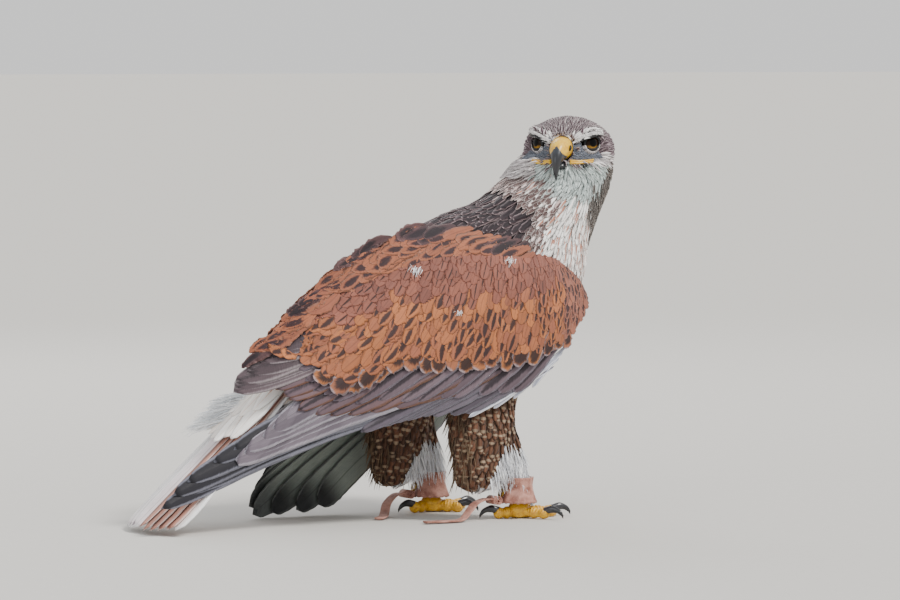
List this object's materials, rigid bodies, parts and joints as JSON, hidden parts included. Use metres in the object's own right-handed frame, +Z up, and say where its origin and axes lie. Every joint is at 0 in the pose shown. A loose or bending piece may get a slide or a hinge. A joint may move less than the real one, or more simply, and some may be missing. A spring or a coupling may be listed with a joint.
{
  "type": "ferruginous hawk",
  "caption": "Life-size still model of a ferruginous hawk standing with folded wings, head turned back over its right shoulder, tail resting on the floor, leather anklets and jesses on its legs.",
  "frame": {"origin": "on the floor at the centre of the bounding box's lowest face", "axes": "+X the way the breast faces, +Y the bird's left, +Z up"},
  "size_m": [0.4452, 0.1584, 0.331],
  "materials": {
    "body_feathers": "contour feathers, rufous brown with dark shaft streaks above, white below",
    "head_feathers": "small pointed feathers, whitish with dark brown streaks",
    "wing_feathers": "rufous coverts over grey-brown barred flight feathers",
    "tail_feathers": "whitish tail feathers washed rufous grey",
    "leg_feathers": "rufous brown leg feathers barred with buff",
    "yellow_skin": "bare yellow skin of cere, gape and toes",
    "horn": "blue-black horn",
    "eye": "glossy brown iris and black pupil",
    "leather": "soft pinkish brown leather",
    "brass": "small brass eyelet"
  },
  "bodies": {
    "root": {"anklet_left": "leather", "anklet_right": "leather", "bill_lower": "horn", "bill_upper": "horn", "cere": "yellow_skin", "claw_hind_left": "horn", "claw_hind_right": "horn", "claw_inner_left": "horn", "claw_inner_right": "horn", "claw_middle_left": "horn", "claw_middle_right": "horn", "claw_outer_left": "horn", "claw_outer_right": "horn", "eye_left": "eye", "eye_right": "eye", "foot_left": "yellow_skin", "foot_right": "yellow_skin", "grommet_left": "brass", "grommet_right": "brass", "head": "head_feathers", "jess_left": "leather", "jess_right": "leather", "neck": "head_feathers", "tail": "tail_feathers", "tarsus_left": "leg_feathers", "tarsus_right": "leg_feathers", "torso": "body_feathers", "trouser_left": "leg_feathers", "trouser_right": "leg_feathers", "wing_left": "wing_feathers", "wing_right": "wing_feathers"}
  },
  "joints": []
}
